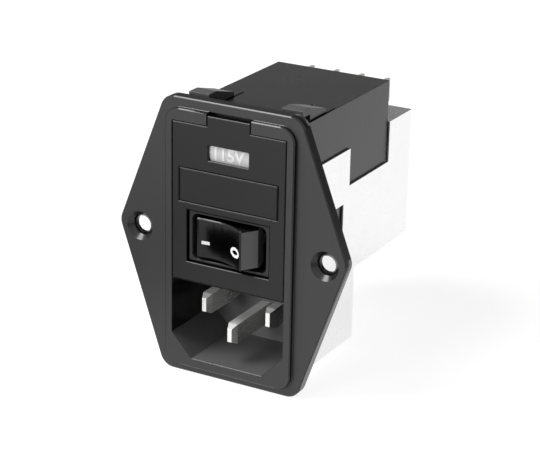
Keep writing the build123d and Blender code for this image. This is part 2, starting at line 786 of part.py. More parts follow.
def y_capacitor(side):
    """A disc capacitor to earth, standing at the board's edge."""
    x = side * (board_half_w - y_cap_t / 2) - y_cap_t / 2
    return rod(y_cap_r, x, y_cap_y, board_top_z + y_cap_r, y_cap_t, "X")


def bleed_resistor():
    """The discharge resistor, standing at the board's rear corner."""
    return rod(resistor_r, resistor_r - board_half_w, board_end_y - resistor_gap - resistor_r, board_top_z,
               resistor_len, "Z")


def build():
    """All pieces, by node name."""
    parts = {
        "front_housing": front_housing(),
        "selector_housing": selector_housing(),
        "terminal_plate": terminal_plate(),
        "filter_case": filter_case(),
        "earth_tab": earth_tab(),
        "line_pin": inlet_pin(pin_spacing / 2, pin_row_z, line_pin_recess),
        "neutral_pin": inlet_pin(-pin_spacing / 2, pin_row_z, line_pin_recess),
        "earth_pin": inlet_pin(0, earth_row_z, earth_pin_recess),
        "fuse_cover": fuse_cover(),
        "fuse_carrier": fuse_carrier(),
        "voltage_drum": voltage_drum(),
        "switch_body": switch_body(),
        "rocker": rocker(),
        "filter_board": filter_board(),
        "choke_core": choke_core(),
        "x_capacitor": x_capacitor(),
        "bleed_resistor": bleed_resistor(),
    }
    for name, side in (("line", 1), ("neutral", -1)):
        x = side * fuse_x
        rear_y = fuse_front_y + fuse_len - fuse_cap_len
        parts["fuse_front_cap_" + name] = fuse_cap(x, fuse_front_y, 1)
        parts["fuse_rear_cap_" + name] = fuse_cap(x, rear_y, -1)
        parts["fuse_tube_" + name] = fuse_tube(x)
        parts["fuse_wire_" + name] = fuse_wire(x)
        parts["fuse_clip_" + name] = fuse_clip(side)
        parts["fuse_tab_" + name] = fuse_tab(side)
        parts["selector_tab_" + name] = selector_tab(side)
        parts["plunger_" + name] = plunger(side)
        parts["plunger_spring_" + name] = plunger_spring(side)
        parts["contact_lever_" + name] = contact_lever(side)
        parts["pivot_strip_" + name] = pivot_strip(side)
        parts["contact_strip_" + name] = contact_strip(side)
        parts["choke_winding_" + name] = choke_winding(side)
        parts["y_capacitor_" + name] = y_capacitor(side)
    return parts


os.makedirs("parts", exist_ok=True)
for node, part in build().items():
    export_step(part, os.path.join("parts", node + ".step"))
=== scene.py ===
import json
import math

import bmesh
import bpy
from mathutils import Matrix, Vector


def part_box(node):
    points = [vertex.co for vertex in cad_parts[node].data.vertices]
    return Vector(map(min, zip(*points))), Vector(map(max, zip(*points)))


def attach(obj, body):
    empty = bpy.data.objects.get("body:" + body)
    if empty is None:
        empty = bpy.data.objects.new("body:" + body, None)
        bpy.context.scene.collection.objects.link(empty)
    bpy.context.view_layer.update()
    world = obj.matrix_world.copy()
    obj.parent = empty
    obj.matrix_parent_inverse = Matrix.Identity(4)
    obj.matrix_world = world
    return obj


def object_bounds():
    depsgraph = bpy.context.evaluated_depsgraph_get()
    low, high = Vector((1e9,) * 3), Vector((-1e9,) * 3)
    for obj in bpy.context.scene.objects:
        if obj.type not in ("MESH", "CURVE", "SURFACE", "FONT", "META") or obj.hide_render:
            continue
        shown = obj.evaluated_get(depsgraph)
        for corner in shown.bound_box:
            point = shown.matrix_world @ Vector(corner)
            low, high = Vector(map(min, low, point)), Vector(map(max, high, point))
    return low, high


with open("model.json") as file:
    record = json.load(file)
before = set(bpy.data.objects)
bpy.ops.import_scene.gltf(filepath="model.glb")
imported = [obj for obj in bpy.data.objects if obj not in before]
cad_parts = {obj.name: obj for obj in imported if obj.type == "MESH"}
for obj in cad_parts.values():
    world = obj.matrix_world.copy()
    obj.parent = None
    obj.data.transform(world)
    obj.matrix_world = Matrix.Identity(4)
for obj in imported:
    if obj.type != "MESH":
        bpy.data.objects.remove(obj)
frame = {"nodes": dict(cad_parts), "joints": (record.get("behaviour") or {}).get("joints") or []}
cad_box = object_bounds()

# Front moulding: the hexagonal flange with its raised bezel and the walls of the inlet, one piece of
# black glass-filled PBT polyester. It is injection moulded along the screws' axis, so the faces that
# lie on the mould's floor carry its spark texture and the side walls are drawn smooth. The side walls
# are also painted far darker than the front, as painted shade.


def linear(sheet_colour):
    """Turns an sRGB hex colour into the linear colour that a shader takes."""
    parts = [int(sheet_colour[i:i + 2], 16) / 255 for i in (1, 3, 5)]
    return [c / 12.92 if c <= 0.04045 else ((c + 0.055) / 1.055) ** 2.4 for c in parts] + [1.0]


def add(tree, kind, inputs=None, **settings):
    """Adds one node, sets its properties, then links or sets its inputs."""
    node = tree.nodes.new("ShaderNode" + kind)
    for name, value in settings.items():
        setattr(node, name, value)
    for socket, value in (inputs or {}).items():
        if isinstance(value, bpy.types.NodeSocket):
            tree.links.new(value, node.inputs[socket])
        else:
            node.inputs[socket].default_value = value
    return node


def start_finish(name):
    """A new material with an empty node tree, named for the real finish."""
    finish = bpy.data.materials.new(name)
    finish.use_nodes = True
    finish.node_tree.nodes.clear()
    return finish, finish.node_tree


def moulded_plastic(name, textured, smooth, grain_mm, dull, shine, glint, across_axis="Y",
                    painted_light_box=None):
    """Moulded plastic: faces across one axis are textured, as a mould's floor is, the rest are smooth
    and take the smooth colour, which can be painted shade. Dull and shine are the roughness of the two,
    and glint is how strongly the plastic mirrors. Inside a box of painted light the faces are textured
    and painted the box's lighter colour, apart from faces turned to X by more than its side limit, which
    keep the smooth colour as painted shade."""
    # The cosines of 47 and 37 degrees: between them a face fades from side wall to mould's floor.
    side_wall, mould_floor = 0.68, 0.8
    # How far the melt's flow and the grain lighten or darken the colour, and the flow the roughness.
    flow_mm, flow_tone, grain_tone, flow_gloss = 9.0, 0.07, 0.06, 0.04
    smooth_relief, textured_relief, relief_mm = 0.05, 0.35, 0.02
    finish, tree = start_finish(name)
    place = add(tree, "TexCoord")
    turn = add(tree, "SeparateXYZ", {"Vector": place.outputs["Normal"]})
    across = add(tree, "Math", {0: turn.outputs[across_axis]}, operation="ABSOLUTE")
    on_floor = add(tree, "MapRange", {"Value": across.outputs[0], "From Min": side_wall,
                                      "From Max": mould_floor})
    # A box of painted light: faces inside it are painted its lighter colour, apart from faces turned to
    # X past its side limit.
    if painted_light_box:
        away = add(tree, "VectorMath", {0: place.outputs["Object"], 1: painted_light_box["middle"]},
                   operation="SUBTRACT")
        far = add(tree, "VectorMath", {0: away.outputs[0]}, operation="ABSOLUTE")
        over = add(tree, "VectorMath", {0: far.outputs[0], 1: painted_light_box["half_size"]},
                   operation="SUBTRACT")
        out = add(tree, "SeparateXYZ", {"Vector": over.outputs[0]})
        flat_out = add(tree, "Math", {0: out.outputs["X"], 1: out.outputs["Z"]}, operation="MAXIMUM")
        most_out = add(tree, "Math", {0: flat_out.outputs[0], 1: out.outputs["Y"]},
                       operation="MAXIMUM")
        inside = add(tree, "Math", {0: most_out.outputs[0], 1: 0.0}, operation="LESS_THAN")
        sideways = add(tree, "Math", {0: turn.outputs["X"]}, operation="ABSOLUTE")
        not_side = add(tree, "Math", {0: sideways.outputs[0], 1: painted_light_box["shaded_past"]},
                       operation="LESS_THAN")
        within = add(tree, "Math", {0: inside.outputs[0], 1: not_side.outputs[0]},
                     operation="MULTIPLY")
        on_floor = add(tree, "Math", {0: on_floor.outputs[0], 1: within.outputs[0]},
                       operation="MAXIMUM")
        face_colour = add(tree, "MixRGB", {"Fac": within.outputs[0], "Color1": linear(textured),
                                           "Color2": linear(painted_light_box["colour"])}).outputs[0]
    else:
        face_colour = linear(textured)
    grain = add(tree, "TexNoise", {"Vector": place.outputs["Object"], "Scale": 1000 / grain_mm,
                                   "Detail": 3.0, "Roughness": 0.6})
    flow = add(tree, "TexNoise", {"Vector": place.outputs["Object"], "Scale": 1000 / flow_mm,
                                  "Detail": 2.0})
    # Smooth faces take the smooth colour, which in some finishes is painted shade on the side walls.
    tone = add(tree, "MixRGB", {"Fac": on_floor.outputs[0], "Color1": linear(smooth),
                                "Color2": face_colour})
    cloud = add(tree, "MapRange", {"Value": flow.outputs["Fac"], "To Min": 1 - flow_tone,
                                   "To Max": 1 + flow_tone})
    speck = add(tree, "MapRange", {"Value": grain.outputs["Fac"], "To Min": 1 - grain_tone,
                                   "To Max": 1 + grain_tone})
    shade = add(tree, "Math", {0: cloud.outputs[0], 1: speck.outputs[0]}, operation="MULTIPLY")
    colour = add(tree, "VectorMath", {0: tone.outputs[0], "Scale": shade.outputs[0]},
                 operation="SCALE")
    gloss = add(tree, "MapRange", {"Value": on_floor.outputs[0], "To Min": shine, "To Max": dull})
    patchy = add(tree, "MapRange", {"Value": flow.outputs["Fac"], "To Min": -flow_gloss,
                                    "To Max": flow_gloss})
    rough = add(tree, "Math", {0: gloss.outputs[0], 1: patchy.outputs[0]}, operation="ADD")
    depth = add(tree, "MapRange", {"Value": on_floor.outputs[0], "To Min": smooth_relief,
                                   "To Max": textured_relief})
    relief = add(tree, "Bump", {"Strength": depth.outputs[0], "Distance": relief_mm / 1000,
                                "Height": grain.outputs["Fac"]})
    body = add(tree, "BsdfPrincipled", {"Base Color": colour.outputs[0], "Roughness": rough.outputs[0],
                                        "Normal": relief.outputs[0], "IOR": 1.5,
                                        "Specular IOR Level": glint})
    add(tree, "OutputMaterial", {"Surface": body.outputs[0]})
    return finish


def dress(finish, *names):
    """Puts a finish on carried-over solids."""
    for name in names:
        for place in frame["nodes"][name].material_slots:
            place.material = finish


def soften(width_mm, *names, steps=2, clamp=True, sharper_than=32):
    """Rounds the edges of carried-over solids that turn by more than an angle in degrees, or breaks
    them flat where there is one step. Clamped edges narrow where two would run into each other."""
    for name in names:
        solid = frame["nodes"][name]
        join = solid.modifiers.new("join", "WELD")
        join.merge_threshold = 1e-6
        rounding = solid.modifiers.new("round", "BEVEL")
        rounding.width = width_mm / 1000
        rounding.segments = steps
        rounding.limit_method = "ANGLE"
        rounding.angle_limit = math.radians(sharper_than)
        rounding.harden_normals = steps > 1
        rounding.use_clamp_overlap = clamp
        rounding.loop_slide = False


# PBT with a fine spark texture, about 0.1 mm in the mould. It is drawn at 0.25 mm so that it shows.
# It makes the front faces an even soft grey-black, while the polished side walls are painted deep
# black as painted shade. The inlet's floor, corners and end wall are matt and painted a lighter grey,
# as painted light falling into the inlet; its two polished sides stay painted deep black as shade.
inlet_painted_light = {"middle": (0, 0.0046, -0.0166), "half_size": (0.01235, 0.0079, 0.00815),
              "colour": "#606060", "shaded_past": 0.85}
spark_textured_pbt = moulded_plastic("spark_textured_pbt", textured="#2d2d2d", smooth="#050505",
                                     grain_mm=0.25, dull=0.5, shine=0.2, glint=0.5,
                                     painted_light_box=inlet_painted_light)
dress(spark_textured_pbt, "front_housing")
soften(0.07, "front_housing", steps=1, clamp=False, sharper_than=50)

# Selector box: the black box behind the upper flange that takes the fuse drawer, with two snap latches
# on its roof, and the plate that closes its back. Both are moulded of the same black PBT as the front
# and click together.

# A plain ground mould leaves the box smoother than the flange, with a satin sheen on its long sides.
# The latches' tops and ramps are painted a lighter grey than the roof, as painted light. Every face
# of theirs takes it, so the side limit is over 1.
latch_painted_light = {"middle": (0, 0.0072, 0.02575), "half_size": (0.0125, 0.0052, 0.00135),
                 "colour": "#585858", "shaded_past": 1.1}
satin_pbt = moulded_plastic("satin_moulded_pbt", textured="#2c2c2c", smooth="#2c2c2c", grain_mm=0.3,
                            dull=0.34, shine=0.26, glint=0.5, painted_light_box=latch_painted_light)
dress(satin_pbt, "selector_housing", "terminal_plate")
soften(0.12, "selector_housing", "terminal_plate")

# Filter can: a stepped case folded from 0.45 mm tin-plated steel sheet and pushed over the back, held
# by the front moulding's snap ramps in its side windows. The earth blade is an angle of tinned brass,
# welded to its back.


def plated_metal(name, colour, roughness, grain_mm, along, relief_mm, flank=None, edge=None):
    """Metal with fine lines along one axis, numbered from 0 for X, from rolling or drawing. Flank and
    edge say how metallic its sides and its blanked top and bottom edges are: less scatters more."""
    # Each line is this many times as long as it is wide, and the bloom on the metal is this broad.
    line_stretch, bloom_mm = 40, 6.0
    # The cosines between which a face turns from flank to blanked edge, and from either to an end.
    flank_turn, edge_turn = 0.6, 0.9
    near_end, at_end = 0.85, 0.95
    # The wear is two noises added up. It makes the roughness a little less or more than it is given.
    least_wear, most_wear = 0.6, 1.4
    least_rough, most_rough = 0.9, 1.12
    least_tone, most_tone = 0.95, 1.03
    finish, tree = start_finish(name)
    place = add(tree, "TexCoord")
    metal = 1.0
    if flank is not None:
        turn = add(tree, "SeparateXYZ", {"Vector": place.outputs["Normal"]})
        upward = add(tree, "Math", {0: turn.outputs["Z"]}, operation="ABSOLUTE")
        side_metal = add(tree, "MapRange", {"Value": upward.outputs[0], "From Min": flank_turn,
                                            "From Max": edge_turn, "To Min": flank, "To Max": edge})
        endward = add(tree, "Math", {0: turn.outputs["Y"]}, operation="ABSOLUTE")
        on_end = add(tree, "MapRange", {"Value": endward.outputs[0], "From Min": near_end,
                                        "From Max": at_end})
        metal = add(tree, "Math", {0: side_metal.outputs[0], 1: on_end.outputs[0]},
                    operation="MAXIMUM").outputs[0]
    stretch = [1000 / grain_mm if axis != along else 1000 / (grain_mm * line_stretch)
               for axis in range(3)]
    line_place = add(tree, "VectorMath", {0: place.outputs["Object"], 1: stretch},
                     operation="MULTIPLY")
    lines = add(tree, "TexNoise", {"Vector": line_place.outputs[0], "Scale": 1.0, "Detail": 4.0})
    bloom = add(tree, "TexNoise", {"Vector": place.outputs["Object"], "Scale": 1000 / bloom_mm,
                                   "Detail": 2.0})
    wear = add(tree, "Math", {0: lines.outputs["Fac"], 1: bloom.outputs["Fac"]}, operation="ADD")
    rough = add(tree, "MapRange", {"Value": wear.outputs[0], "From Min": least_wear,
                                   "From Max": most_wear, "To Min": roughness * least_rough,
                                   "To Max": roughness * most_rough})
    tone = add(tree, "MapRange", {"Value": bloom.outputs["Fac"], "To Min": least_tone,
                                  "To Max": most_tone})
    shade = add(tree, "VectorMath", {0: linear(colour)[:3], "Scale": tone.outputs[0]},
                operation="SCALE")
    relief = add(tree, "Bump", {"Strength": 0.25, "Distance": relief_mm / 1000,
                                "Height": lines.outputs["Fac"]})
    body = add(tree, "BsdfPrincipled", {"Base Color": shade.outputs[0], "Metallic": metal,
                                        "Roughness": rough.outputs[0], "Normal": relief.outputs[0]})
    add(tree, "OutputMaterial", {"Surface": body.outputs[0]})
    return finish


# Bright tin plate: the rolling lines, about 0.05 mm apart and drawn at 0.2 mm, run from front to back
# and blur what the metal mirrors, so its broad sides read nearly white.
tin_plate = plated_metal("rolled_tin_plate", "#f6f6f6", roughness=0.26, grain_mm=0.2, along=1,
                         relief_mm=0.0015)
dress(tin_plate, "filter_case")
soften(0.1, "filter_case")

# Tinned brass strip, blanked in a press: warmer and duller than the can.
tinned_brass = plated_metal("blanked_tinned_brass", "#dcdad4", roughness=0.32, grain_mm=0.15, along=1,
                            relief_mm=0.002, flank=0.5, edge=0.3)
dress(tinned_brass, "earth_tab")
soften(0.08, "earth_tab")

# Inlet pins: three flat blades of solid brass, nickel plated and pressed into the back wall of the
# inlet. The plating mirrors the black cavity on its flanks and the studio on its bevelled tips.

# Satin nickel: slightly warm, with the faint draw lines of the blade under the plating. Its fine oxide
# scatters some light, so the flanks stay pale even where they mirror the black walls.
satin_nickel = plated_metal("satin_nickel_plate", "#efefed", roughness=0.28, grain_mm=0.12, along=1,
                            relief_mm=0.0002, flank=0.85, edge=0.05)
dress(satin_nickel, "line_pin", "neutral_pin", "earth_pin")
soften(0.15, "line_pin", "neutral_pin", "earth_pin")

# Fuse drawer: the flat cover with its pry tab, window and bare label field, and the tray behind it
# that carries the fuses and the voltage drum. Both are moulded of black nylon and snap together.

# Nylon takes a slightly finer texture than PBT and comes out a shade darker on the cover's face.
fine_textured_nylon = moulded_plastic("fine_textured_nylon", textured="#141414", smooth="#0c0c0c",
                                      grain_mm=0.22, dull=0.5, shine=0.3, glint=0.36)
dress(fine_textured_nylon, "fuse_cover")
soften(0.12, "fuse_cover", steps=1, clamp=False)

# The tray is out of sight and was left as it came from the mould: plain, greyer, a little glossier.
plain_nylon = moulded_plastic("plain_moulded_nylon", textured="#2c2c2c", smooth="#2a2a2a",
                              grain_mm=0.3, dull=0.4, shine=0.32, glint=0.45)
dress(plain_nylon, "fuse_carrier")
soften(0.08, "fuse_carrier")

# Fuses: two 5 by 20 mm glass cartridges in the tray. Each is a clear tube with a fine wire inside and
# a nickel-plated brass cap pushed and cemented over each end. Leaves and blades of tinned brass take
# the current from them through the terminal plate.


def both_poles(*names):
    """The full names of pieces that the line and the neutral pole have one each of."""
    return [name + pole for name in names for pole in ("_line", "_neutral")]


# Clear soda glass: it shows the wire inside, with a bright line along the tube. Drawing the tube
# leaves faint waves about 2.5 mm apart.
fuse_glass, tree = start_finish("drawn_soda_glass")
place = add(tree, "TexCoord")
wave_mm = 2.5
waves = add(tree, "TexNoise", {"Vector": place.outputs["Object"], "Scale": 1000 / wave_mm,
                               "Detail": 1.0})
relief = add(tree, "Bump", {"Strength": 0.1, "Distance": 0.00002, "Height": waves.outputs["Fac"]})
clear = add(tree, "BsdfPrincipled", {"Base Color": linear("#f4faf8"), "Roughness": 0.02, "IOR": 1.52,
                                     "Transmission Weight": 1.0, "Normal": relief.outputs[0]})
add(tree, "OutputMaterial", {"Surface": clear.outputs[0]})
dress(fuse_glass, *both_poles("fuse_tube"))

dress(satin_nickel, *both_poles("fuse_front_cap", "fuse_rear_cap"))
dress(tinned_brass, *both_poles("fuse_clip", "fuse_tab", "selector_tab"))
soften(0.08, *both_poles("fuse_tab", "selector_tab"))

# Bare copper wire, drawn: warm and bright where it catches the light.
drawn_copper = plated_metal("drawn_bare_copper", "#c98a62", roughness=0.28, grain_mm=0.1, along=1,
                            relief_mm=0.002)
dress(drawn_copper, *both_poles("fuse_wire"))

# Voltage drum: a grey moulded ABS drum that turns in the tray's cheeks. Four numbers are printed round
# it in white, a quarter turn apart, and the one that faces the window is the voltage in use.

# ABS moulded in a plain mould: an even pale grey, matt, that sets off the white numbers.
pale_grey_abs = moulded_plastic("pale_grey_abs", textured="#dadada", smooth="#dadada", grain_mm=0.3,
                                dull=0.5, shine=0.45, glint=0.3)
dress(pale_grey_abs, "voltage_drum")

# White pad-printing ink lies matt and even on the plastic, with a faint orange-peel 0.3 mm across.
white_ink, tree = start_finish("white_printing_ink")
place = add(tree, "TexCoord")
peel_mm = 0.3
peel = add(tree, "TexNoise", {"Vector": place.outputs["Object"], "Scale": 1000 / peel_mm,
                              "Detail": 2.0})
tone = add(tree, "MapRange", {"Value": peel.outputs["Fac"], "To Min": 0.97, "To Max": 1.0})
shade = add(tree, "VectorMath", {0: linear("#ffffff")[:3], "Scale": tone.outputs[0]},
            operation="SCALE")
relief = add(tree, "Bump", {"Strength": 0.1, "Distance": 0.00001, "Height": peel.outputs["Fac"]})
coat = add(tree, "BsdfPrincipled", {"Base Color": shade.outputs[0], "Roughness": 0.5, "IOR": 1.5,
                                    "Specular IOR Level": 0.4, "Normal": relief.outputs[0]})
add(tree, "OutputMaterial", {"Surface": coat.outputs[0]})

drum_low, drum_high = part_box("voltage_drum")
drum_axis = (drum_low + drum_high) / 2
drum_radius = 0.0047
number_width = 0.0064
number_height = 0.00245
stroke_swell = 0.022
ink_lift = 0.00003
ink_depth = 0.0001


def printed_piece(name, flat, lay, finish):
    """Lays a flat mesh of ink on a surface and gives it the ink's thickness, sunk into what it is on."""
    top = [lay(v.co.x, v.co.y, ink_lift) for v in flat.verts]
    under = [lay(v.co.x, v.co.y, -ink_depth) for v in flat.verts]
    count = len(top)
    flat.verts.index_update()
    faces = []
    for face in flat.faces:
        ring = [v.index for v in face.verts]
        faces.append(ring)
        faces.append([i + count for i in reversed(ring)])
    for edge in flat.edges:
        if len(edge.link_faces) == 1:
            loop = edge.link_loops[0]
            a, b = loop.vert.index, loop.link_loop_next.vert.index
            faces.append([b, a, a + count, b + count])
    shape = bpy.data.meshes.new(name)
    shape.from_pydata(top + under, [], faces)
    shape.materials.append(finish)
    piece = bpy.data.objects.new(name, shape)
    bpy.context.scene.collection.objects.link(piece)
    return piece


def flat_number(words):
    """The outline of a printed number as a flat mesh, cut into strips that can bend."""
    strips = 8
    writing = bpy.data.curves.new("number", "FONT")
    writing.body = words
    writing.offset = stroke_swell
    writing.resolution_u = 4
    carrier = bpy.data.objects.new("number", writing)
    sheet = bpy.data.meshes.new_from_object(carrier)
    flat = bmesh.new()
    flat.from_mesh(sheet)
    bpy.data.objects.remove(carrier)
    bpy.data.meshes.remove(sheet)
    low = Vector([min(v.co[i] for v in flat.verts) for i in range(3)])
    high = Vector([max(v.co[i] for v in flat.verts) for i in range(3)])
    for v in flat.verts:
        v.co.x = ((v.co.x - low.x) / (high.x - low.x) - 0.5) * number_width
        v.co.y = ((v.co.y - low.y) / (high.y - low.y) - 0.5) * number_height
        v.co.z = 0
    bmesh.ops.remove_doubles(flat, verts=flat.verts, dist=1e-6)
    for step in range(1 - strips // 2, strips // 2):
        cut = number_height * step / strips
        bmesh.ops.bisect_plane(flat, geom=flat.verts[:] + flat.edges[:] + flat.faces[:],
                               plane_co=(0, cut, 0), plane_no=(0, 1, 0))
    return flat


for turn_index, words in enumerate(("115V", "100V", "230V", "240V")):
    facing = turn_index * math.pi / 2

    def on_drum(x, up, lift):
        """Bends flat ink round the drum, at this number's quarter turn."""
        angle = facing + up / drum_radius
        reach = drum_radius + lift
        return (x, drum_axis.y - reach * math.cos(angle), drum_axis.z + reach * math.sin(angle))

    number = printed_piece("number_" + words, flat_number(words), on_drum, white_ink)
    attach(number, "drum")

# Rocker switch: a moulded case behind the cover's opening, with a rocker on stub shafts that presses
# two sprung pins onto two see-saw copper contacts. The case is matt and the rocker's face is polished.

# Nylon from a mould with a blast finish: matt dark grey on the case's front. The sides of its well
# are painted near black, as painted shade.
matt_nylon = moulded_plastic("matt_moulded_nylon", textured="#222222", smooth="#080808", grain_mm=0.25,
                             dull=0.55, shine=0.4, glint=0.4)
dress(matt_nylon, "switch_body")
soften(0.1, "switch_body", steps=1, clamp=False)

# The rocker's hollow face comes off a polished steel core, so it is nearly mirror smooth and reads
# deep black, while its two ends are textured for grip and painted light grey, as painted light.
polished_rocker = moulded_plastic("polished_rocker_nylon", textured="#8c8c8c", smooth="#020202",
                                  grain_mm=0.25, dull=0.5, shine=0.18, glint=0.34, across_axis="X")
dress(polished_rocker, "rocker")
soften(0.12, "rocker")

# Its marks are printed in the same white ink: a bar on the side that is pressed, a ring on the other.
# They follow the hollow's arc, whose centre lies in front of the rocker, and lean with it at rest.
rocker_tilt = next(joint for joint in frame["joints"] if joint["name"] == "rocker_tilt")
pivot = Vector(rocker_tilt["pos_m"])
rocker_lean = math.radians(-rocker_tilt["range_deg"][1] / 2)
hollow_radius = 0.012119
hollow_axis_y = -0.018149
mark_height = -0.0008


def on_rocker(along, up, lift):
    """Bends flat ink along the rocker's hollow face."""
    angle = along / hollow_radius
    reach = hollow_radius - lift
    x, y = reach * math.sin(angle), hollow_axis_y + reach * math.cos(angle)
    return (x * math.cos(rocker_lean) - y * math.sin(rocker_lean),
            pivot.y + x * math.sin(rocker_lean) + y * math.cos(rocker_lean),
            pivot.z + mark_height + up)


bar_middle, bar_length, bar_height, bar_strips = -0.0037, 0.0017, 0.00064, 4
flat = bmesh.new()
columns = [bar_middle + bar_length * (i / bar_strips - 0.5) for i in range(bar_strips + 1)]
lower = [flat.verts.new((along, -bar_height / 2, 0)) for along in columns]
upper = [flat.verts.new((along, bar_height / 2, 0)) for along in columns]
for i in range(bar_strips):
    flat.faces.new((lower[i], lower[i + 1], upper[i + 1], upper[i]))
on_mark = printed_piece("mark_on", flat, on_rocker, white_ink)

ring_middle, ring_length, ring_height, ring_line = 0.0038, 0.0030, 0.00205, 0.0006
ring_steps = 40
flat = bmesh.new()
turns = [2 * math.pi * i / ring_steps for i in range(ring_steps)]
outer = [flat.verts.new((ring_middle + ring_length / 2 * math.cos(t),
                         ring_height / 2 * math.sin(t), 0)) for t in turns]
inner = [flat.verts.new((ring_middle + (ring_length / 2 - ring_line) * math.cos(t),
                         (ring_height / 2 - ring_line) * math.sin(t), 0)) for t in turns]
for i in range(ring_steps):
    j = (i + 1) % ring_steps
    flat.faces.new((outer[i], outer[j], inner[j], inner[i]))
off_mark = printed_piece("mark_off", flat, on_rocker, white_ink)
for mark in (on_mark, off_mark):
    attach(mark, "rocker")

# Acetal pins slide freely: milky white and slightly waxy.
natural_acetal = moulded_plastic("natural_acetal", textured="#e4e2da", smooth="#e4e2da", grain_mm=0.3,
                                 dull=0.42, shine=0.36, glint=0.5)
dress(natural_acetal, *both_poles("plunger"))

# Spring wire is drawn and hardened steel, grey and satin.
spring_wire = plated_metal("drawn_spring_steel", "#a9a9a6", roughness=0.3, grain_mm=0.08, along=0,
                           relief_mm=0.002)
dress(spring_wire, *both_poles("plunger_spring"))

switch_copper = both_poles("contact_lever", "pivot_strip", "contact_strip")
dress(drawn_copper, *switch_copper)
soften(0.06, *switch_copper)

# Line filter: inside the can a small board of green laminate carries a wound ferrite choke, a boxed
# capacitor across the poles, two blue disc capacitors to earth and a bleed resistor, all soldered.

# FR4 laminate: solder resist over glass cloth. The cloth's 0.5 mm weave is drawn at about 1 mm, and
# shows faintly through the resist. Blender's wave texture has 20 / (2 pi) bands to a unit.
weave_mm = 0.9896
weave_scale = 1000 / weave_mm * 2 * math.pi / 20
laminate, tree = start_finish("solder_masked_laminate")
place = add(tree, "TexCoord")
weft, warp = (add(tree, "TexWave", {"Vector": place.outputs["Object"], "Scale": weave_scale,
                                    "Distortion": 0.3}, bands_direction=axis) for axis in "XY")
cloth = add(tree, "Math", {0: weft.outputs["Fac"], 1: warp.outputs["Fac"]}, operation="MULTIPLY")
resist = add(tree, "MixRGB", {"Fac": cloth.outputs[0], "Color1": linear("#1c6a3c"),
                              "Color2": linear("#257a48")})
relief = add(tree, "Bump", {"Strength": 0.2, "Distance": 0.00002, "Height": cloth.outputs[0]})
board = add(tree, "BsdfPrincipled", {"Base Color": resist.outputs[0], "Roughness": 0.3, "IOR": 1.5,
                                     "Normal": relief.outputs[0]})
add(tree, "OutputMaterial", {"Surface": board.outputs[0]})
dress(laminate, "filter_board")

# Sintered ferrite: dark grey ceramic with a fine sandy grain, rounded at its edges by tumbling.
ferrite = moulded_plastic("sintered_ferrite", textured="#3a3a3c", smooth="#38383a", grain_mm=0.2,
                          dull=0.6, shine=0.55, glint=0.4)
dress(ferrite, "choke_core")
soften(0.3, "choke_core")

# Enamelled copper wire, 0.8 mm thick, wound round the ring: amber-brown with a wet shine. The turns
# show as ribs that fan out from the core's axis and are about 1 mm apart on the ring's outside, with
# painted shade darkening the grooves between turns and painted highlight lightening their crests.
enamelled_wire, tree = start_finish("enamelled_copper_winding")
place = add(tree, "TexCoord")
core_low, core_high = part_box("choke_core")
core_middle = (core_low + core_high) / 2
rib_pitch = 0.001
ribs_round = round(math.pi * (core_high.x - core_low.x) / rib_pitch)
from_axis = add(tree, "VectorMath", {0: place.outputs["Object"], 1: core_middle},
                operation="SUBTRACT")
sides = add(tree, "SeparateXYZ", {"Vector": from_axis.outputs[0]})
round_core = add(tree, "Math", {0: sides.outputs["Z"], 1: sides.outputs["X"]}, operation="ARCTAN2")
turn_wave = add(tree, "Math", {0: round_core.outputs[0], 1: ribs_round}, operation="MULTIPLY")
rib = add(tree, "Math", {0: turn_wave.outputs[0]}, operation="SINE")
height = add(tree, "MapRange", {"Value": rib.outputs[0], "From Min": -1.0})
# The colour follows the ribs: painted shade in the grooves, painted highlight on the crests.
tint = add(tree, "MixRGB", {"Fac": height.outputs[0], "Color1": linear("#5a2c12"),
                            "Color2": linear("#b8662c")})
relief = add(tree, "Bump", {"Strength": 0.8, "Distance": 0.0003, "Height": height.outputs[0]})
wire = add(tree, "BsdfPrincipled", {"Base Color": tint.outputs[0], "Metallic": 0.6, "Roughness": 0.25,
                                    "Coat Weight": 0.6, "Normal": relief.outputs[0]})
add(tree, "OutputMaterial", {"Surface": wire.outputs[0]})
dress(enamelled_wire, *both_poles("choke_winding"))
soften(0.5, *both_poles("choke_winding"))

# The boxed capacitor is a yellow moulded case, the discs are dipped in blue epoxy, and the resistor
# is lacquered beige.
yellow_case = moulded_plastic("yellow_moulded_case", textured="#d9ab2a", smooth="#d9ab2a",
                              grain_mm=0.4, dull=0.35, shine=0.3, glint=0.5)
blue_epoxy = moulded_plastic("dipped_blue_epoxy", textured="#2a5fa8", smooth="#2a5fa8", grain_mm=1.2,
                             dull=0.25, shine=0.22, glint=0.5)
beige_lacquer = moulded_plastic("beige_lacquer", textured="#cdb98c", smooth="#cdb98c", grain_mm=0.8,
                                dull=0.3, shine=0.28, glint=0.5)
dress(yellow_case, "x_capacitor")
dress(blue_epoxy, *both_poles("y_capacitor"))
dress(beige_lacquer, "bleed_resistor")
soften(0.3, "x_capacitor", *both_poles("y_capacitor"))

# Camera: a long lens a little above the flange and to its right, and rolled by about a degree, as the
# photograph was taken.
camera_turn = math.radians(28.98)
camera_rise = math.radians(20.551)
camera_roll = math.radians(1.089)
camera_distance = 0.3455
camera_target = Vector((0.0084927, -0.0024, 0.0058107))
back = Vector((math.sin(camera_turn) * math.cos(camera_rise),
               -math.cos(camera_turn) * math.cos(camera_rise), math.sin(camera_rise)))
level = Vector((math.cos(camera_turn), math.sin(camera_turn), 0))
upright = back.cross(level)
right = level * math.cos(camera_roll) + upright * math.sin(camera_roll)
top = upright * math.cos(camera_roll) - level * math.sin(camera_roll)
lens = bpy.data.cameras.new("camera")
lens.sensor_width = 36.0
lens.lens = 125.357
camera = bpy.data.objects.new("camera", lens)
camera.matrix_world = Matrix.Translation(camera_target + back * camera_distance) @ Matrix(
    (right, top, back)).transposed().to_4x4()
bpy.context.scene.collection.objects.link(camera)
bpy.context.scene.camera = camera

# Studio: a wide white table in a white room, a softbox high at the left front and a fill lower down on
# the same side, so the right-hand faces stay a little darker.
table_height = cad_box[0][2]


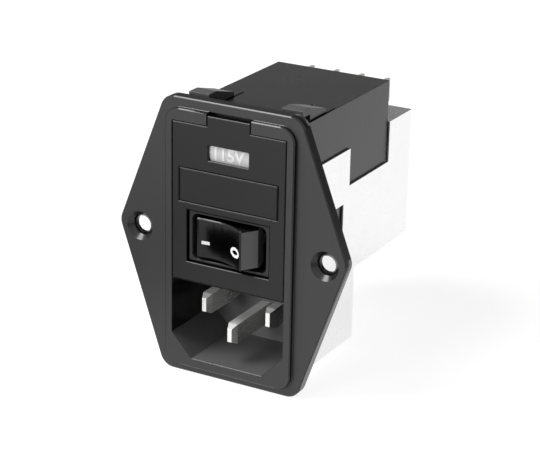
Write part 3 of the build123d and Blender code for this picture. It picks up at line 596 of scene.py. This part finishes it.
def seen_directly(tree):
    """1 for rays that show a surface itself, in the picture, in gloss or through glass; otherwise 0."""
    ray = add(tree, "LightPath")
    first = add(tree, "Math", {0: ray.outputs["Is Camera Ray"], 1: ray.outputs["Is Glossy Ray"]},
                operation="MAXIMUM")
    return add(tree, "Math", {0: first.outputs[0], 1: ray.outputs["Is Transmission Ray"]},
               operation="MAXIMUM").outputs[0]


def flat_card(name, corners, finish):
    """A flat sheet of the studio, which isn't part of the object."""
    shape = bpy.data.meshes.new(name)
    shape.from_pydata(corners, [], [range(len(corners))])
    shape.materials.append(finish)
    card = bpy.data.objects.new(name, shape)
    bpy.context.scene.collection.objects.link(card)
    return card


# The lamps' light fades away from the object, so the far table glows up to the room's white instead.
lit_out_to, faded_by = 0.15, 0.7
near_glow, far_glow = 0.86, 1.0
table_half = 4
white_table, tree = start_finish("white_laminate_table")
place = add(tree, "TexCoord")
off_centre = add(tree, "VectorMath", {0: place.outputs["Object"]}, operation="LENGTH")
glow_power = add(tree, "MapRange", {"Value": off_centre.outputs["Value"], "From Min": lit_out_to,
                                    "From Max": faded_by, "To Min": near_glow, "To Max": far_glow})
glow = add(tree, "Emission", {"Color": linear("#ffffff"), "Strength": glow_power.outputs[0]})
shaded = add(tree, "BsdfDiffuse", {"Color": linear("#a0a0a0")})
shown = add(tree, "AddShader", {0: glow.outputs[0], 1: shaded.outputs[0]})
bounce = add(tree, "BsdfDiffuse", {"Color": linear("#808080")})
sheet = add(tree, "MixShader", {0: seen_directly(tree), 1: bounce.outputs[0], 2: shown.outputs[0]})
add(tree, "OutputMaterial", {"Surface": sheet.outputs[0]})
flat_card("table", [(-table_half, -table_half, table_height), (table_half, -table_half, table_height),
                    (table_half, table_half, table_height), (-table_half, table_half, table_height)],
          white_table)

# Cards that only gloss and metal can mirror. Two stand far behind: the grey one keeps the tops from
# washing out, and the one below it shades the flange's right-hand side. The rest lie flat on the
# table, out of the picture: the dark one blackens the rocker's hollow, and the grey ones draw the
# can's faces apart from the white table.
card_lift = 0.0002
back_cards_y = 0.6


def standing(low_x, high_x, low_z, high_z):
    """The corners of an upright card behind the object."""
    return [(low_x, back_cards_y, low_z), (high_x, back_cards_y, low_z),
            (high_x, back_cards_y, high_z), (low_x, back_cards_y, high_z)]


def lying(*corners):
    """The corners of a card that lies on the table."""
    return [(x, y, table_height + card_lift) for x, y in corners]


for name, tint, corners in (
        ("grey_back_card", "#727272", standing(-1.2, 1.2, 0.11, 1.2)),
        ("shaded_back_card", "#7b7b7b", standing(0.22, 0.9, -0.02, 0.108)),
        ("dark_card", "#0a0a0a", lying((-0.022, -0.046), (-0.055, -0.13), (-0.11, -0.1),
                                       (-0.14, -0.04), (-0.13, 0.012), (-0.045, 0.012),
                                       (-0.036, -0.02))),
        ("left_card", "#b4b4b4", lying((-0.02, 0.06), (-0.1, 1.5), (-1.5, 1.5), (-1.5, 0.02),
                                       (-0.06, 0.02))),
        ("right_card", "#d6d6d6", lying((0.08, 0.06), (1.5, 1.2), (1.5, 0.15), (0.09, 0.02))),
        ("front_card", "#b4b4b4", lying((0.06, -0.03), (1.5, -0.12), (1.5, -1.5), (0.08, -1.5),
                                        (0.03, -0.06)))):
    card_finish, tree = start_finish(name)
    mirrored = add(tree, "Emission", {"Color": linear(tint), "Strength": 1.0})
    add(tree, "OutputMaterial", {"Surface": mirrored.outputs[0]})
    card = flat_card(name, corners, card_finish)
    card.visible_camera = False
    card.visible_diffuse = False
    card.visible_transmission = False
    card.visible_shadow = False

# Both lamps are square, a third of a metre or a little more across, and aimed at the object.
for name, spot, size, watts in (("softbox", (-0.34, -0.28, 0.6), 0.34, 4.2),
                                ("fill", (-0.26, -0.8, 0.24), 0.4, 4.0)):
    lamp_face = bpy.data.lights.new(name, "AREA")
    lamp_face.size = size
    lamp_face.energy = watts
    lamp = bpy.data.objects.new(name, lamp_face)
    aim = (-Vector(spot)).to_track_quat("-Z", "Y").to_matrix().to_4x4()
    lamp.matrix_world = Matrix.Translation(spot) @ aim
    bpy.context.scene.collection.objects.link(lamp)

# The room is white where it is seen or mirrored, and lights the object only faintly.
room_light = 0.1
room = bpy.data.worlds.new("room")
room.use_nodes = True
tree = room.node_tree
tree.nodes.clear()
strength = add(tree, "MapRange", {"Value": seen_directly(tree), "To Min": room_light, "To Max": 1.0})
air = add(tree, "Background", {"Color": linear("#ffffff"), "Strength": strength.outputs[0]})
add(tree, "OutputWorld", {"Surface": air.outputs[0]})
bpy.context.scene.world = room
bpy.context.scene.view_settings.view_transform = "Standard"
